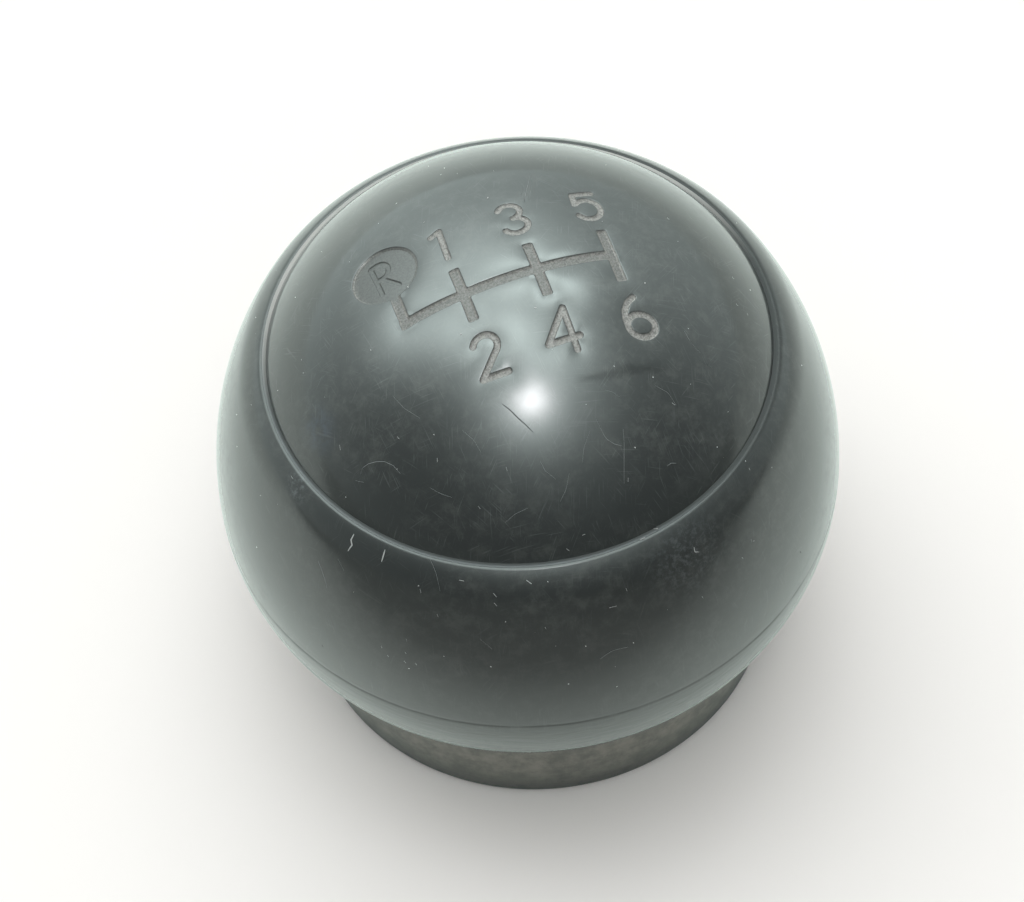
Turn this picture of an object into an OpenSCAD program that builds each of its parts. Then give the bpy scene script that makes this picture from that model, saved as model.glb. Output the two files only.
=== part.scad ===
// Ball-shaped gear shift knob with a snap-in cap and a moulded-in thread bush.
// Millimetres. The knob stands on the rim of its collar at z = 0, with the lever's axis on Z.
// +Y points to the front of the car and +X to its right, as the gate pattern reads.

/* [Ball] */
// Widest diameter of the ball, at its mould parting line
ball_d = 50; // [48:0.5:56]
// Height of the widest circle above the collar's rim
equator_h = 21.2; // [20:0.2:24]
// Profile radius of the ball's side, above its widest circle
flank_r = 31; // [28:0.5:40]
// Angle that the side's arc turns through
flank_angle = 25; // [18:0.5:28]
// Profile radius of the shoulder that rolls over towards the cap
shoulder_r = 6.5; // [5.5:0.25:9]
// Profile radius of the ball's underside
under_r = 16; // [15:0.25:18]

/* [Collar] */
// How far the collar's outside lies inside the ball's widest circle
collar_inset = 5.8; // [5:0.1:6.5]
// Fillet between the ball's underside and the collar
collar_fillet = 1.2; // [0.4:0.1:2]
// Rounding of the collar's outer bottom edge
rim_round = 0.7; // [0.3:0.1:1.2]
// Wall of the collar, round the recess where the boot's ring goes in
collar_wall = 2.6; // [2:0.1:3.2]
// Depth of that recess
recess_h = 7; // [5:0.25:8]
// Chamfer at the recess's mouth
recess_chamfer = 0.5; // [0.2:0.1:0.8]

/* [Cap] */
// How far the seam round the cap lies inside the ball's widest circle
seam_inset = 5.2; // [4.4:0.1:5.6]
// Height of the dome's top above the seam
cap_rise = 11.2; // [9:0.1:13]
// How far the dome's edge lies below the corner of the ball's edge, before that is rounded
cap_drop = 0.4; // [0.1:0.05:0.8]
// Wall of the cap's dome
cap_t = 2.3; // [1.8:0.1:3]
// Height of the cap's edge, from the seam down to the ledge that it sits on
cap_edge_h = 1.8; // [1.2:0.1:2.4]
// Rounding of the cap's outer edge
cap_edge_round = 0.2; // [0.1:0.05:0.6]
// Rounding of the ball's edge at the seam
seat_round = 0.3; // [0.2:0.05:0.5]
// Gap all round the cap's edge
cap_gap = 0.05; // [0.03:0.01:0.2]

/* [Cap hooks] */
// Width of the ledge that the cap sits on, from the seam to the mouth
ledge_w = 1.5; // [1.3:0.05:2.4]
// Height of the lip that the hooks catch under
lip_h = 2; // [1.4:0.1:2.6]
// How far the hooks reach under the lip
hook_catch = 0.6; // [0.4:0.05:0.8]
// Length of a hook's nose below the lip
hook_nose_h = 2.6; // [2:0.1:3]
// Width of a hook, as an angle round the cap
hook_angle = 22; // [14:1:28]
// Number of hooks
hook_count = 4; // [3:1:6]
// Wall of the skirt and the hooks
skirt_t = 1.5; // [1.2:0.1:1.8]
// Height of the skirt between the hooks
skirt_h = 1.4; // [1:0.1:1.8]
// Slot each side of a hook
hook_slot = 1; // [0.6:0.1:1.6]
// Clearance of the skirt in the mouth
skirt_fit = 0.1; // [0.05:0.01:0.2]
// Clearance between the hooks and the lip's underside
hook_fit = 0.1; // [0.05:0.01:0.2]
// Width of the key that sets which way the gate faces
key_w = 3; // [2:0.1:4]
// How far the key stands out from the skirt
key_h = 1; // [0.6:0.1:1.3]

/* [Core] */
// Thickness of the floor above the recess
floor_t = 2.6; // [2:0.1:3.4]
// Width of the pocket between the hub and the wall, at the floor
pocket_w = 3.9; // [3.3:0.1:4.8]
// Material over the bush's blind end
hub_top_t = 2.6; // [2:0.1:4]
// Draft of the core, as the change in radius over its depth
core_draft = 0.5; // [0.2:0.05:0.8]
// Number of ribs between the hub and the wall
rib_count = 6; // [4:1:10]
// Thickness of a rib
rib_t = 1.8; // [1.4:0.1:2.4]
// How far the ribs stay below the hub's top
rib_drop = 4; // [2:0.5:8]

/* [Thread bush] */
// Nominal diameter of the lever's thread
thread_d = 12; // [10:1:12]
// Pitch of that thread
thread_pitch = 1.25; // [1:0.25:1.5]
// Depth of the threaded hole
thread_depth = 16; // [14:0.5:17]
// Chamfer at the hole's mouth
thread_chamfer = 0.8; // [0.4:0.1:1.2]
// Length of the bush
bush_l = 20.4; // [20:0.2:22]
// Diameter of the bush over its knurl
bush_d = 16; // [15.4:0.1:18]
// Diameter of the bush's flange
bush_flange_d = 19; // [18.6:0.1:22]
// Thickness of the flange
bush_flange_t = 1.6; // [1:0.1:2.4]
// Width of the plain groove between the two knurled bands
bush_groove_w = 3; // [1.6:0.1:5]
// Depth of that groove
bush_groove_h = 0.9; // [0.5:0.1:1.1]
// Number of knurl teeth
knurl_count = 36; // [24:2:48]
// Depth of the knurl
knurl_h = 0.4; // [0.2:0.05:0.6]
// Clearance round the bush in the hub
bush_fit = 0.02; // [0.01:0.01:0.04]

/* [Gate pattern] */
// Distance between the centre lines of neighbouring lanes
lane_pitch = 5.9; // [5:0.1:6.2]
// Centre of the middle lane, to the right of the knob's axis
lane_mid_x = 1.6; // [1:0.1:2]
// Cross lane, in front of the knob's axis where positive
cross_y = -1.15; // [-1.6:0.05:0]
// Length of a lane to each side of the cross lane
lane_reach = 2.4; // [1.8:0.1:2.8]
// Distance from the first lane to the reverse lane
reverse_pitch = 4.7; // [4.4:0.1:4.8]
// Diameter of the round reverse recess
reverse_d = 5.1; // [4.8:0.1:5.8]
// Distance from the cross lane to the centre of the reverse recess
reverse_reach = 5.15; // [4.2:0.05:5.3]
// Width of a lane
lane_w = 0.75; // [0.5:0.05:1]
// Depth of the pattern below the dome
gate_depth = 0.35; // [0.2:0.05:0.6]

/* [Hidden] */
$fn = 96;
eps = 0.01;
reach = 100;
rib_root = 0.4;
drill_angle = 59;
plastic = [0.13, 0.14, 0.14];
brass = [0.78, 0.62, 0.32];

function polar(r, a) = [r * cos(a), r * sin(a)];

// Profile arcs of the ball, each tangent to the next
ball_r = ball_d / 2;
collar_r = ball_r - collar_inset;
seam_r = ball_r - seam_inset;
flank_c = [ball_r - flank_r, equator_h];
shoulder_c = flank_c + polar(flank_r - shoulder_r, flank_angle);
under_c = [ball_r - under_r, equator_h];

// The shoulder's arc ends at the seam
seam_angle = acos((seam_r - shoulder_c[0]) / shoulder_r);
seam_z = shoulder_c[1] + shoulder_r * sin(seam_angle);

// Centre of the collar's fillet, and the point where it meets the underside
fillet_c = [
    collar_r + collar_fillet,
    equator_h - sqrt(
        pow(under_r + collar_fillet, 2) - pow(collar_r + collar_fillet - under_c[0], 2)
    )
];
fillet_end = under_c + (fillet_c - under_c) * under_r / (under_r + collar_fillet);

// Centre of the rounding on the ball's edge at the seam
seat_round_c = [
    seam_r + seat_round,
    shoulder_c[1] + sqrt(
        pow(shoulder_r - seat_round, 2) - pow(seam_r + seat_round - shoulder_c[0], 2)
    )
];
seat_round_angle = atan2(
    seat_round_c[1] - shoulder_c[1], seat_round_c[0] - shoulder_c[0]
);

// The dome is part of a sphere through the cap's top and its edge, just below the seam
dome_h = cap_rise + cap_drop;
dome_r = (pow(seam_r, 2) + pow(dome_h, 2)) / (2 * dome_h);
dome_z = seam_z + cap_rise - dome_r;
cap_r = seam_r - cap_gap;
cap_round_x = cap_r - cap_edge_round;
cap_round_c = [
    cap_round_x, dome_z + sqrt(pow(dome_r - cap_edge_round, 2) - pow(cap_round_x, 2))
];
cap_round_angle = atan2(cap_round_c[1] - dome_z, cap_round_x);

// Heights of the ledge, the lip and the hooks
ledge_z = seam_z - cap_edge_h;
lip_z = ledge_z - lip_h;
nose_top_z = lip_z - hook_fit;
nose_z = nose_top_z - hook_nose_h;
groove_z = nose_z - hook_fit;

// Radii of the mouth, the skirt and the hook groove
mouth_r = seam_r - ledge_w;
skirt_r = mouth_r - skirt_fit;
skirt_in_r = skirt_r - skirt_t;
groove_r = mouth_r + hook_catch + skirt_fit;
slot_angle = hook_slot / skirt_r * 180 / PI;

// Core between the recess and the mouth
recess_r = collar_r - collar_wall;
floor_z = recess_h + floor_t;
hub_r = mouth_r - core_draft - pocket_w;
hub_top_z = recess_h + bush_l + hub_top_t;
rib_top_z = hub_top_z - rib_drop;

// The plain hole has the minor diameter of the lever's thread
bore_r = (thread_d - 1.0825 * thread_pitch) / 2;
bush_r = bush_d / 2;
bush_flange_r = bush_flange_d / 2;
band_l = (bush_l - bush_flange_t - bush_groove_w) / 2;

// Slice of a disc between two angles
module sector(centre, r, from, to) {
    far = r / cos((to - from) / 4) + 1;
    mid = (from + to) / 2;
    translate(centre)
        intersection() {
            circle(r);
            polygon([[0, 0], polar(far, from), polar(far, mid), polar(far, to)]);
        }
}

// What a rounding takes off a corner: the wedge between two angles, less the rounding's circle
module corner_waste(centre, r, from, to) {
    far = 4 * r;
    mid = (from + to) / 2;
    translate(centre)
        difference() {
            polygon([[0, 0], polar(far, from), polar(far, mid), polar(far, to)]);
            circle(r);
        }
}

// Half section of the outer form. Each smaller circle lies inside the arc that it rolls out of
module ball_section() {
    square([collar_r, seam_z]);
    translate(shoulder_c) circle(shoulder_r);
    intersection() {
        square([reach, reach]);
        union() {
            translate(under_c) circle(under_r);
            sector(flank_c, flank_r, 0, flank_angle);
        }
    }
    difference() {
        polygon([
            [collar_r - under_r / 4, fillet_c[1]], fillet_c, fillet_end,
            [collar_r - under_r / 4, equator_h]
        ]);
        translate(fillet_c) circle(collar_fillet);
    }
}

// Hollow that the core leaves: seat, mouth, hook groove and the pocket round the hub
module core_section() {
    polygon([
        [0, hub_top_z], [hub_r - core_draft, hub_top_z], [hub_r, floor_z],
        [mouth_r - core_draft, floor_z], [mouth_r, groove_z - hook_catch],
        [groove_r, groove_z], [groove_r, lip_z], [mouth_r, lip_z], [mouth_r, ledge_z],
        [seam_r, ledge_z], [seam_r, reach], [0, reach]
    ]);
}

// Recess inside the collar
module recess_section() {
    polygon([
        [0, -eps], [recess_r + recess_chamfer + eps, -eps], [recess_r, recess_chamfer],
        [recess_r, recess_h], [0, recess_h]
    ]);
}

// Seat of the thread bush in the hub
module bush_seat_section() {
    translate([0, recess_h - eps])
        square([bush_flange_r + bush_fit, bush_flange_t + eps]);
    translate([0, recess_h]) square([bush_r + bush_fit, bush_l]);
}

module body_section() {
    difference() {
        ball_section();
        core_section();
        recess_section();
        bush_seat_section();
        corner_waste([collar_r - rim_round, rim_round], rim_round, -90, 0);
        corner_waste(seat_round_c, seat_round, seat_round_angle, 180);
    }
}

module ribs() {
    from = hub_r - core_draft - rib_root;
    to = mouth_r + rib_root;
    for (i = [0:rib_count - 1])
        rotate(90 + 360 / rib_count * i)
            translate([from, -rib_t / 2, floor_z - rib_root])
                cube([to - from, rib_t, rib_top_z - floor_z + rib_root]);
}

// Notch in the lip that the cap's key drops into
module key_notch() {
    w = key_w + 2 * skirt_fit;
    h = skirt_h + skirt_fit;
    translate([-w / 2, mouth_r - key_h, ledge_z - h])
        cube([w, skirt_r + key_h + skirt_fit - mouth_r + key_h, h + eps]);
}

module knob_body() {
    color(plastic)
        difference() {
            union() {
                rotate_extrude() body_section();
                ribs();
            }
            key_notch();
        }
}

// Half section of the cap with its hooks, as if they ran all the way round
module cap_section() {
    catch_r = mouth_r + hook_catch;
    difference() {
        union() {
            intersection() {
                translate([0, dome_z]) circle(dome_r);
                translate([0, ledge_z]) square([cap_r, reach]);
            }
            polygon([
                [skirt_in_r - skirt_t, ledge_z + cap_edge_h / 2],
                [skirt_in_r - skirt_t, nose_z], [skirt_r - skirt_t / 3, nose_z],
                [catch_r, nose_top_z - hook_nose_h / 3], [catch_r, nose_top_z],
                [skirt_r, nose_top_z], [skirt_r, ledge_z + cap_edge_h / 2]
            ]);
        }
        intersection() {
            translate([0, dome_z]) circle(dome_r - cap_t);
            square([skirt_in_r, reach]);
        }
        corner_waste(cap_round_c, cap_edge_round, 0, cap_round_angle);
    }
}

// Sector of a ring that clears the skirt and the hooks, from one height to another
module ring_cut(from, span, z0, z1) {
    rotate(from)
        rotate_extrude(angle = span)
            translate([skirt_in_r - skirt_t, z0])
                square([groove_r - skirt_in_r + 2 * skirt_t, z1 - z0]);
}

// What is cut away beside one hook and up to the next
module hook_gap() {
    step = 360 / hook_count;
    below = nose_z - hook_nose_h;
    ring_cut(hook_angle / 2, slot_angle, below, ledge_z);
    ring_cut(-hook_angle / 2 - slot_angle, slot_angle, below, ledge_z);
    ring_cut(
        (hook_angle + slot_angle) / 2, step - hook_angle - slot_angle,
        below, ledge_z - skirt_h
    );
}

module key() {
    translate([-key_w / 2, skirt_r - skirt_t / 2, ledge_z - skirt_h])
        cube([key_w, skirt_t / 2 + key_h, skirt_h + cap_edge_h / 2]);
}

// Plan of the lanes and the round reverse recess
module gate_plan() {
    reverse_x = lane_mid_x - lane_pitch - reverse_pitch;
    last_x = lane_mid_x + lane_pitch;
    for (i = [-1:1])
        translate([lane_mid_x + i * lane_pitch - lane_w / 2, cross_y - lane_reach])
            square([lane_w, 2 * lane_reach]);
    translate([reverse_x - lane_w / 2, cross_y - lane_w / 2])
        square([last_x - reverse_x + lane_w / 2, lane_w]);
    translate([reverse_x - lane_w / 2, cross_y - lane_w / 2])
        square([lane_w, reverse_reach]);
    translate([reverse_x, cross_y + reverse_reach]) circle(d = reverse_d);
}

// The pattern cut follows the dome at one depth
module gate_cut() {
    difference() {
        translate([0, 0, dome_z + dome_r / 2]) linear_extrude(dome_r) gate_plan();
        translate([0, 0, dome_z]) sphere(dome_r - gate_depth);
    }
}

module top_cap() {
    color(plastic) {
        difference() {
            rotate_extrude() cap_section();
            gate_cut();
            for (i = [0:hook_count - 1])
                rotate(90 + 360 / hook_count * (i + 0.5)) hook_gap();
        }
        key();
    }
}

// Straight knurl: a star of teeth that touch the bush's diameter
module knurl_plan() {
    polygon([
        for (i = [0:2 * knurl_count - 1])
            polar(bush_r - (i % 2) * knurl_h, i * 180 / knurl_count)
    ]);
}

module threaded_insert() {
    color(brass)
        translate([0, 0, recess_h])
            difference() {
                union() {
                    cylinder(h = bush_flange_t, r = bush_flange_r);
                    cylinder(h = bush_l, r = bush_r - bush_groove_h);
                    for (z = [bush_flange_t - eps, bush_l - band_l])
                        translate([0, 0, z]) linear_extrude(band_l) knurl_plan();
                }
                translate([0, 0, -eps]) cylinder(h = thread_depth + eps, r = bore_r);
                translate([0, 0, thread_depth])
                    cylinder(h = bore_r / tan(drill_angle), r1 = bore_r, r2 = 0);
                translate([0, 0, -eps])
                    cylinder(
                        h = thread_chamfer + eps,
                        r1 = bore_r + thread_chamfer + eps, r2 = bore_r
                    );
            }
}

knob_body();
top_cap();
threaded_insert();
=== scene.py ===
# %% [markdown]
# This lesson dresses a worn gear shift knob. The frame holds three solids: the ball with its
# collar, the domed cap and the brass thread bush. They are the right size, but they carry no
# digits, no thread turns and no wear. Each one gets a finer mesh of the same form and a finish.

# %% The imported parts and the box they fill
import math

import bmesh
import bpy
import numpy as np
from mathutils import Matrix, Vector
from mathutils.geometry import delaunay_2d_cdt


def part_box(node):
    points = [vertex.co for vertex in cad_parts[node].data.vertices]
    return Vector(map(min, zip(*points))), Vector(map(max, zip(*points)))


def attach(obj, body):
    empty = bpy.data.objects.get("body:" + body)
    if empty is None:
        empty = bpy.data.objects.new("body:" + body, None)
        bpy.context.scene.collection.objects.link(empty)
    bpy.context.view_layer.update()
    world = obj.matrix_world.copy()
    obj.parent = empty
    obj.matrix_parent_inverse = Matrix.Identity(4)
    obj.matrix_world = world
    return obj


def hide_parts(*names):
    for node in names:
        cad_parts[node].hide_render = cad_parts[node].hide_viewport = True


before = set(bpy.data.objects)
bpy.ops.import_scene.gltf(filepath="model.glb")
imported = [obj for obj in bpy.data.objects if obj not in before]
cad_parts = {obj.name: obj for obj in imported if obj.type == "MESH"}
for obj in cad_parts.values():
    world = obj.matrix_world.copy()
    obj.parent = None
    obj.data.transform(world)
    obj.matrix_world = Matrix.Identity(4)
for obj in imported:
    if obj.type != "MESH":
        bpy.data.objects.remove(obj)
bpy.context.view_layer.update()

MM = 0.001
print("nodes:", sorted(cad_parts))

# %% [markdown]
# The real sizes come first. What the frame can tell is read from it: the ball's radius, the
# cap's radius and top, and the lowest point of the cap's hooks. The radii of the profile's arcs
# are drawing values, so they are written here, in millimetres.

# %% Sizes of the knob
def frame_box(node):
    """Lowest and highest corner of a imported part, in millimetres."""
    low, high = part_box(node)
    return low / MM, high / MM


body_high = frame_box("knob_body")[1]
cap_low, cap_high = frame_box("top_cap")
bush_low, bush_high = frame_box("threaded_insert")

ball_r = round(body_high.x, 3)
equator_h = 21.2
flank_r, flank_angle = 31.0, 25.0
shoulder_r = 6.5
under_r = 16.0
collar_r = ball_r - 5.8
collar_fillet = 1.2
rim_round = 0.7
recess_r = collar_r - 2.6
recess_chamfer = 0.5
recess_h = round(bush_low.z, 3)
cap_r = round(cap_high.x, 3)
cap_gap = 0.05
seam_r = cap_r + cap_gap
cap_top = round(cap_high.z, 3)
cap_drop = 0.4
cap_edge_round = 0.2
seat_round = 0.3
cap_t = 2.3
floor_t = 2.6
print(f"ball {2 * ball_r:.1f} mm wide, cap {2 * cap_r:.1f} mm wide, top at {cap_top:.2f} mm")

# %% [markdown]
# The profile is a chain of arcs, each tangent to the next: underside, side and shoulder. The
# centres follow from the radii, as on the drawing, and the seam lies where the shoulder's arc
# reaches the cap's radius. The dome is part of a sphere that starts a little below the seam's edge.

# %% Centres of the profile's arcs
def polar(radius, angle):
    """Point at a radius and an angle in degrees, in the half section."""
    return np.array([radius * math.cos(math.radians(angle)), radius * math.sin(math.radians(angle))])


flank_c = np.array([ball_r - flank_r, equator_h])
shoulder_c = flank_c + polar(flank_r - shoulder_r, flank_angle)
under_c = np.array([ball_r - under_r, equator_h])
seam_angle = math.degrees(math.acos((seam_r - shoulder_c[0]) / shoulder_r))
seam_z = shoulder_c[1] + shoulder_r * math.sin(math.radians(seam_angle))

fillet_x = collar_r + collar_fillet
fillet_c = np.array([
    fillet_x, equator_h - math.sqrt((under_r + collar_fillet) ** 2 - (fillet_x - under_c[0]) ** 2)
])
fillet_angle = math.degrees(math.atan2(fillet_c[1] - under_c[1], fillet_x - under_c[0]))

seat_x = seam_r + seat_round
seat_c = np.array([
    seat_x, shoulder_c[1] + math.sqrt((shoulder_r - seat_round) ** 2 - (seat_x - shoulder_c[0]) ** 2)
])
seat_angle = math.degrees(math.atan2(seat_c[1] - shoulder_c[1], seat_x - shoulder_c[0]))

dome_h = cap_top - seam_z + cap_drop
dome_r = (seam_r ** 2 + dome_h ** 2) / (2 * dome_h)
dome_z = cap_top - dome_r
round_x = cap_r - cap_edge_round
round_c = np.array([round_x, dome_z + math.sqrt((dome_r - cap_edge_round) ** 2 - round_x ** 2)])
round_angle = math.degrees(math.atan2(round_c[1] - dome_z, round_x))
ledge_z = seam_z - 1.8
print(f"seam at {seam_z:.2f} mm, dome radius {dome_r:.2f} mm")

# %% [markdown]
# A turned form is a half section spun round the axis. Points are laid along each arc at an even
# spacing, because even faces give even shading on a glossy surface. Blender's own Screw modifier
# could spin it, but writing the rings as arrays keeps hold of single rings for later changes.

# %% Helpers for sections, rings and meshes
ARC_STEP = 0.3
ARC_TURN = 9.0
TURNS = 288


def arc(centre, radius, start, end):
    """Points along an arc of the half section, with the angles in degrees."""
    turn = abs(end - start)
    steps = max(math.ceil(math.radians(turn) * radius / ARC_STEP), math.ceil(turn / ARC_TURN), 2)
    return [tuple(centre + polar(radius, a)) for a in np.linspace(start, end, steps + 1)]


def spin(section, turns=TURNS, closed=True):
    """Rings of a half section turned round Z, as an array, and the faces between the rings."""
    x, z = np.array(section).T
    angle = 2 * np.pi * np.arange(turns) / turns
    rings = np.stack([
        np.outer(np.cos(angle), x), np.outer(np.sin(angle), x), np.tile(z, (turns, 1))
    ], axis=-1)
    count = len(x)
    k, j = np.meshgrid(np.arange(turns), np.arange(count if closed else count - 1), indexing="ij")
    here, there = k * count, (k + 1) % turns * count
    up = (j + 1) % count
    faces = np.stack([here + j, there + j, there + up, here + up], axis=-1).reshape(-1, 4)
    return rings, faces


def solid(name, points, faces, sharp=30.0):
    """Closed object from points in millimetres, doubles merged, faces outward, no loose edge."""
    mesh = bpy.data.meshes.new(name)
    places = (np.asarray(points).reshape(-1, 3) * MM).tolist()
    mesh.from_pydata(places, [], [list(map(int, f)) for f in faces])
    work = bmesh.new()
    work.from_mesh(mesh)
    bmesh.ops.remove_doubles(work, verts=work.verts, dist=0.001 * MM)
    bmesh.ops.delete(work, geom=[e for e in work.edges if not e.link_faces], context="EDGES")
    bmesh.ops.recalc_face_normals(work, faces=work.faces)
    open_edges = sum(not e.is_manifold for e in work.edges)
    work.to_mesh(mesh)
    work.free()
    mesh.shade_smooth()
    mesh.set_sharp_from_angle(angle=math.radians(sharp))
    piece = bpy.data.objects.new(name, mesh)
    bpy.context.scene.collection.objects.link(piece)
    print(f"{name}: {len(mesh.polygons)} faces, {open_edges} open edges")
    return piece


# %% [markdown]
# The camera stands where the photographer stood: 35 cm away, 57 degrees above the table and
# 15.5 degrees to the left of the gate's own axis, with the picture tilted by under 5 degrees.
# The picture is 1024 pixels wide, and the ball's centre lies a little right of and below its
# middle, which the lens shift takes up.

# %% Camera
image_w = 1024
camera_turn, camera_rise, camera_roll = (math.radians(a) for a in (-15.5, 56.9, -4.67))
camera_distance = 0.350
focal_px = 4347
off_x_px, off_y_px = 16, 5

back = Vector((
    math.sin(camera_turn) * math.cos(camera_rise),
    -math.cos(camera_turn) * math.cos(camera_rise),
    math.sin(camera_rise),
))
level = Vector((math.cos(camera_turn), math.sin(camera_turn), 0))
plumb = back.cross(level)
right = math.cos(camera_roll) * level + math.sin(camera_roll) * plumb
above = math.cos(camera_roll) * plumb - math.sin(camera_roll) * level

lens = bpy.data.cameras.new("camera")
lens.sensor_fit = "HORIZONTAL"
lens.sensor_width = 36
lens.lens = focal_px / image_w * lens.sensor_width
lens.shift_x, lens.shift_y = -off_x_px / image_w, off_y_px / image_w
lens.clip_start, lens.clip_end = 0.01, 20
camera = bpy.data.objects.new("camera", lens)
camera.matrix_world = Matrix.Translation(Vector((0, 0, equator_h * MM)) + back * camera_distance) @ Matrix(
    (right, above, back)
).transposed().to_4x4()
bpy.context.scene.collection.objects.link(camera)
bpy.context.scene.camera = camera
print(f"lens {lens.lens:.1f} mm")

# %% [markdown]
# Paint and light are both node trees. A small class lets such a tree read like plain arithmetic:
# `x * 2 + 1` adds two Math nodes, and a reflected form serves `1 - x`. One more method adds any
# other node, so noise and distances fit in the same line.

# %% Node trees that read like arithmetic
class Value:
    """Output socket of a node tree that can be added, multiplied and compared."""

    def __init__(self, tree, socket):
        self.tree, self.socket = tree, socket

    def math(self, operation, other=0.0, flip=False):
        pair = (other, self) if flip else (self, other)
        return self.tree.node("ShaderNodeMath", *pair, operation=operation)

    def __add__(self, other):
        return self.math("ADD", other)

    def __sub__(self, other):
        return self.math("SUBTRACT", other)

    def __rsub__(self, other):
        return self.math("SUBTRACT", other, flip=True)

    def __mul__(self, other):
        return self.math("MULTIPLY", other)

    def __truediv__(self, other):
        return self.math("DIVIDE", other)

    def __abs__(self):
        return self.math("ABSOLUTE")

    __radd__, __rmul__ = __add__, __mul__

    def exp(self):
        return self.math("EXPONENT")

    def low(self, other):
        return self.math("MINIMUM", other)

    def ramp(self, start, end, low=0.0, high=1.0):
        """Smooth step from low to high between two values, which may run either way."""
        if start > end:
            start, end, low, high = end, start, high, low
        return self.tree.node(
            "ShaderNodeMapRange", self, start, end, low, high, interpolation_type="SMOOTHSTEP", clamp=True
        )


class Tree:
    """Node tree whose nodes are added by expressions."""

    def __init__(self, nodes_of):
        self.nodes, self.links = nodes_of.nodes, nodes_of.links

    def node(self, kind, *values, out=0, **settings):
        """Adds a node with settings, feeds its inputs in order, and gives one output."""
        made = self.nodes.new(kind)
        for key, value in settings.items():
            setattr(made, key, value)
        for slot, value in zip(made.inputs, values):
            self.feed(slot, value)
        return Value(self, made.outputs[out])

    def feed(self, slot, value):
        """Links a value to a socket, or sets a constant on it."""
        if isinstance(value, Value):
            self.links.new(value.socket, slot)
        elif value is not None:
            slot.default_value = value

    def mix(self, factor, first, second):
        """Colour between two colours."""
        made = self.nodes.new("ShaderNodeMix")
        made.data_type = "RGBA"
        self.feed(made.inputs[0], factor)
        for slot, colour in ((made.inputs[6], first), (made.inputs[7], second)):
            self.feed(slot, colour if isinstance(colour, Value) else (*colour, 1.0))
        return Value(self, made.outputs[2])


# %% Paint, a tree with the shader of one material
class Paint(Tree):
    """Material with its own node tree, measured in object coordinates."""

    def __init__(self, name):
        self.material = bpy.data.materials.new(name)
        self.material.use_nodes = True
        super().__init__(self.material.node_tree)
        self.shader = self.nodes["Principled BSDF"]
        self.place = self.node("ShaderNodeTexCoord", out="Object")

    def set(self, **values):
        """Sets inputs of the main shader, with underscores for the blanks in their names."""
        for name, value in values.items():
            self.feed(self.shader.inputs[name.replace("_", " ").title().replace("Ior", "IOR")], value)

    def parts(self):
        """X, Y and Z of the place."""
        made = self.nodes.new("ShaderNodeSeparateXYZ")
        self.feed(made.inputs[0], self.place)
        return [Value(self, made.outputs[k]) for k in range(3)]

    def drawn_out(self, scale, turn=0):
        """The place in axes turned round Z by some degrees, along which a pattern is drawn out."""
        spun = (0, 0, math.radians(turn))
        return self.node("ShaderNodeMapping", self.place, None, spun, scale, vector_type="TEXTURE")

    def noise(self, size, detail=2.0, rough=0.5, vector=None):
        """Noise from 0 to 1 with features of about the given size in millimetres."""
        made = self.nodes.new("ShaderNodeTexNoise")
        self.feed(made.inputs["Vector"], vector or self.place)
        made.inputs["Scale"].default_value = 1 / (size * MM)
        made.inputs["Detail"].default_value = detail
        made.inputs["Roughness"].default_value = rough
        return Value(self, made.outputs[0])

    def near(self, centre, reach):
        """1 at a point given in millimetres, fading to 0 at a distance."""
        point = tuple(v * MM for v in centre)
        far = self.node("ShaderNodeVectorMath", self.place, point, out="Value", operation="DISTANCE")
        return far.ramp(reach * MM, 0.0)

    def bump(self, height, depth, normal=None):
        """Normal bent by a height from 0 to 1 that stands for a depth in millimetres."""
        made = self.nodes.new("ShaderNodeBump")
        made.inputs["Distance"].default_value = depth * MM
        self.feed(made.inputs["Height"], height)
        if normal:
            self.feed(made.inputs["Normal"], normal)
        return Value(self, made.outputs[0])


# %% [markdown]
# The knob lies on pale foam under a bright ceiling light that stands behind it, with a small lamp
# near the camera. All of the room is one sky of soft lobes, each with a direction, a sharpness
# and a radiance. A glossy dark ball shows mostly such a room, so its shape matters more here
# than any colour. Diffuse rays see the same sky at a plainer level, so pale things stay unclipped.

# %% Room
scene = bpy.context.scene
scene.view_settings.view_transform = "Standard"


def toward(turn, rise):
    """Unit vector at a compass turn and a rise in degrees; turn 0 is the front of the bench."""
    turn, rise = math.radians(turn), math.radians(rise)
    return math.sin(turn) * math.cos(rise), -math.cos(turn) * math.cos(rise), math.sin(rise)


AMBIENT = 0.21
LOBES = [
    (-8, 67, 160.4, 15.7), (127, 60, 124, 5.4), (-175, 58, 7.7, 3.96), (-12, 63, 37.6, 3.44),
    (-169, 85, 88.5, 4.07), (160, 62, 76.6, 3.23), (59, 78, 51.3, 2.82), (-131, 47, 25.8, 2.44),
    (-127, 67, 60.4, 2.55), (5, 84, 10.6, 1.81), (-159, -6, 1.9, 1.27), (5, 63, 6.5, 1.14),
    (127, 44, 7, 0.85), (101, 11, 5.1, 0.63),
]
PLAIN_LEVEL = 0.366

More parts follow.
